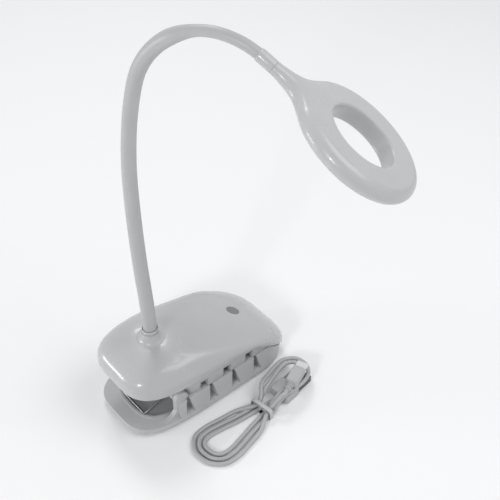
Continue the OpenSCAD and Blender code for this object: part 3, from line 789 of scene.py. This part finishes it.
def make_neck(materials):
    starts = [0.0]
    for arc in ARCS:
        starts.append(starts[-1] + arc[0])
    joints, total = starts[1:-1], starts[-1] - HEAD_COLLAR_REACH + 0.3
    cuts = [SLEEVE_START] + [(a + b) / 2 for a, b in zip(joints, joints[1:])] + [total]
    count = int((total - SLEEVE_START) / SLEEVE_STEP) + 1
    runs = sorted({SLEEVE_START + SLEEVE_STEP * i for i in range(count)} | set(cuts))
    rings = tube_skin([neck_point(r) for r in runs], [sleeve_r(r) for r in runs])
    for i, joint in enumerate(joints):
        own = [ring for run, ring in zip(runs, rings) if cuts[i] - 1e-6 <= run <= cuts[i + 1] + 1e-6]
        sleeve = piece(f"sleeve_{i + 1}", None, "sleeve", materials["sleeve"], *loft(own), limit=60.0)
        tuple(neck_point(joint - BLEND_REACH) * MM)
        tuple(neck_point(joint + BLEND_REACH) * MM)
        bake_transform(sleeve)
        nodes = [f"neck_{i + 1}"] + (["neck_6"] if i == len(joints) - 1 else [])
        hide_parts(*nodes)


# Head

def head_matrix():
    turn, place = FRAMES[-1]
    return (Matrix.Translation(place) @ turn.to_4x4() @ Matrix.Rotation(math.radians(HEAD_ROLL), 4, "Z")
            @ Matrix.Rotation(math.radians(-90), 4, "Y") @ Matrix.Translation((STEM_REACH, 0, 0)))


# Place along the stem, half width, half height and power of its outline
STEM_SECTIONS = ((-50.3, 3.3, 3.3, 2), (-47, 3.5, 3.4, 2), (-43, 4.2, 3.8, 2.1), (-39, 5.6, 4.2, 2.2),
                 (-36, 7.4, 4.5, 2.4), (-33.5, 9.8, 4.7, 2.7), (-31.5, 12.6, 4.75, 3),
                 (-29.5, 15.8, 4.75, 3.4), (-28, 18, 4.7, 3.6))


def ring_outline():
    middle = RING_R - RING_H
    outer = [(middle + RING_H * math.cos(math.radians(a)), RING_H * math.sin(math.radians(a)))
             for a in range(-73, 91, 6)]
    edge = HOLE_R + EDGE_R
    inner = [(edge + EDGE_R * math.cos(math.radians(a)), RING_H - EDGE_R + EDGE_R * math.sin(math.radians(a)))
             for a in range(90, 181, 15)]
    under = [(edge + EDGE_R * math.cos(math.radians(a)), EDGE_R - RING_H + EDGE_R * math.sin(math.radians(a)))
             for a in range(180, 271, 15)]
    near, far, height = LENS_SEAT
    return outer + inner + under + [(near, -RING_H), (near, height), (far, height)]


def make_ring(materials, place):
    """The ring and its stem, grown into one skin"""
    points, faces = lathe(ring_outline(), 180, closed=True)
    stem = [[(x, w * py, h * pz) for py, pz in plan(1, 1, 0, q, 64)]
            for x, w, h, q in smooth_route(STEM_SECTIONS, 4)]
    more, skins = loft(stem)
    ring = piece("ring_housing", None, "shell_white", materials["ring"], points, faces)
    neck = piece("ring_stem", None, "shell_white", materials["ring"], more, skins)
    join = ring.modifiers.new("join", "BOOLEAN")
    join.operation = "UNION"
    join.solver = "EXACT"
    join.object = neck
    apply_modifiers(ring)
    bpy.data.objects.remove(neck)
    remesh = ring.modifiers.new("remesh", "REMESH")
    remesh.mode = "VOXEL"
    remesh.voxel_size = HEAD_VOXEL * MM
    smooth = ring.modifiers.new("smooth", "SMOOTH")
    smooth.factor = 0.6
    smooth.iterations = 10
    apply_modifiers(ring)
    ring.data.transform(Matrix.Translation(place.translation * MM) @ place.to_3x3().to_4x4())
    mark_edges(ring.data, 60.0)
    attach(ring, "head")
    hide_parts("head_shell", "head_bezel")


def make_lens(materials, place):
    lens = [(22.05, -4.5), (30.3, -4.45), (30.5, -4.2), (30.5, -2.7), (22.05, -2.7)]
    lens_part = piece("ring_lens", "head", "lens_white", materials["lens"],
                      *lathe(lens, 128, place, closed=True))
    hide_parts("diffuser")


def make_stem_collar(materials, place):
    r = HEAD_COLLAR_R
    sleeve = [(1.85, 0.25), (r - 0.75, 0.1), (r - 0.55, 0), (r - 0.3, 0.08), (r - 0.12, 0.25), (r, 0.55),
              (r, 8.6), (1.85, 8.6)]
    turn = (place @ Matrix.Translation((-STEM_REACH - HEAD_COLLAR_REACH, 0, 0))
            @ Matrix.Rotation(math.radians(90), 4, "Y"))
    collar = piece("stem_collar", "head", "shell_white", materials["ring"],
                   *lathe(sleeve, 96, turn, closed=True), limit=40.0)
    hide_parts("head_collar")


# Charging lead

def hank_flat(turn):
    c, s = math.cos(math.radians(turn)), math.sin(math.radians(turn))
    reach, swell = (REACH[0], SWELL[0]) if c < 0 else (REACH[1], SWELL[1])
    u = reach * c * (1 + 0.25 * s * s)
    return Vector((u, s * (STRAND_PITCH / 2 + swell * (c * c + 0.01) ** 0.75)
                   + 0.1 * (math.sqrt(u * u + 36) - 6)))


def hank_point(turn):
    """A point of the hank, by the formula of the part's source"""
    flat = hank_flat(turn)
    ahead = (hank_flat(turn + 0.5) - hank_flat(turn - 0.5)).normalized()
    outward = Vector((ahead[1], -ahead[0]))
    number = math.floor((turn + 90) / 360)
    step = number - 1 + min(1.0, (turn + 90 - 360 * number) / 180)
    fold = math.radians(120 * math.exp(-(flat[0] / 9) ** 2))
    extra = max(0.0, step - 1)
    far = (min(step, 1) + extra * math.cos(fold)) * STRAND_PITCH
    t = max(0.0, min(1.0, (flat[0] - 2) / 9))
    height = LEAD_D / 2 + extra * STRAND_PITCH * math.sin(fold) + PLUG_LIFT * t * t * (3 - 2 * t)
    return (flat[0] + outward[0] * far, flat[1] + outward[1] * far, height)


def lead_matrix():
    return Matrix.Translation((TIE[0], TIE[1], 0)) @ Matrix.Rotation(math.radians(LEAD_TURN), 4, "Z")


def make_lead(materials):
    place = lead_matrix()
    rings = int((PASSES[1] - PASSES[0]) * LOOP_RINGS / 360)
    loops = [hank_point(PASSES[0] + 360 * i / LOOP_RINGS) for i in range(rings + 1)]
    route = moved(list(USB_END) + loops + list(MICRO_END), place)
    fine = smooth_route(route, 5)
    fine = [(x, y, max(z, LEAD_D / 2)) for x, y, z in fine]
    lead = wire("charging_lead", fine, LEAD_D / 2, "lower_jaw", materials["lead"])
    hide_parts("cord_hank")
    tie = make_tie(materials, place)
    usb = place @ Matrix.Translation(USB_AT)
    points, faces = round_box((0, -7, -3), (11.5, 7, 3), 1.5)
    usb_body = piece("large_plug", "lower_jaw", "cord_white", materials["plug"], moved(points, usb), faces)
    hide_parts("usb_body")
    micro = place @ Matrix.Translation(MICRO_AT) @ Matrix.Rotation(math.radians(MICRO_TURN), 4, "Z")
    micro_body = make_micro(materials, micro)


def make_tie(materials, place):
    outer = [[(u, y, z) for y, z in tie_outline(grow)]
             for u, grow in ((-2.2, 0.4), (-2.0, 0.6), (0.2, 0.6), (0.4, 0.4))]
    inner = [[(u, y, z) for y, z in tie_outline(0.05)] for u in (0.4, -2.2)]
    points, faces = loft(outer + inner + [outer[0]], caps=False)
    tie = piece("lead_tie", "lower_jaw", "cord_white", materials["tie"], moved(points, place), faces, 50.0)
    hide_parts("cord_tie")
    return tie


def tie_outline(grow):
    """Outline of the tie across the lead, as pairs across and up"""
    wide, low, high = 7.3 + grow, 0.05, 6.8 + grow
    corners = ((wide, low, 0.6, 270), (wide, high, 2.6, 0), (-wide, high, 2.6, 90), (-wide, low, 0.6, 180))
    points = []
    for y, z, radius, first in corners:
        my, mz = y - math.copysign(radius, y), z - radius if z > 3 else z + radius
        for i in range(7):
            a = math.radians(first + 15 * i)
            points.append((my + radius * math.cos(a), mz + radius * math.sin(a)))
    return points


def make_micro(materials, place):
    sections = ((5.0, 2.6, 2.0), (5.3, 3.0, 2.4), (6.5, 3.7, 3.0), (14, 3.9, 3.2), (16.5, 3.9, 3.1),
                (17.6, 3.7, 2.9), (18.0, 3.3, 2.5))
    rings = []
    for x, w, h in smooth_route(sections, 3):
        rings.append([(x, w * px, h * py) for px, py in plan(1, 1, 0, 5, 64)])
    points, faces = loft(rings)
    body = piece("small_plug", "lower_jaw", "cord_white", materials["plug"], moved(points, place), faces)
    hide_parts("micro_body")
    relief = [(0.01, 0.1), (1.75, 0.1)]
    for z in (1.0, 2.5, 4.0):
        relief += [(1.75 + z * 0.05, z - 0.1), (2.35, z), (2.4, z + 0.15), (2.4, z + 0.55), (2.35, z + 0.7),
                   (1.8 + z * 0.05, z + 0.8)]
    relief += [(2.1, 5.1), (0.01, 5.1)]
    turn = place @ Matrix.Rotation(math.radians(90), 4, "Y")
    points, faces = lathe(relief, 48, turn)
    strain = piece("strain_relief", "lower_jaw", "cord_white", materials["plug"], points, faces)
    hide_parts("micro_relief")
    return body


make_camera()
materials = make_materials()
make_lead(materials)
make_world()
make_lights()
make_floor()
finish_cad_nodes(materials)
make_housing(materials)
make_boss(materials)
make_foot_collar(materials)
make_key(materials)
make_lower_jaw(materials)
make_upper_jaw(materials)
make_spring(materials)
make_neck(materials)
head_place = head_matrix()
make_ring(materials, head_place)
make_lens(materials, head_place)
make_stem_collar(materials, head_place)
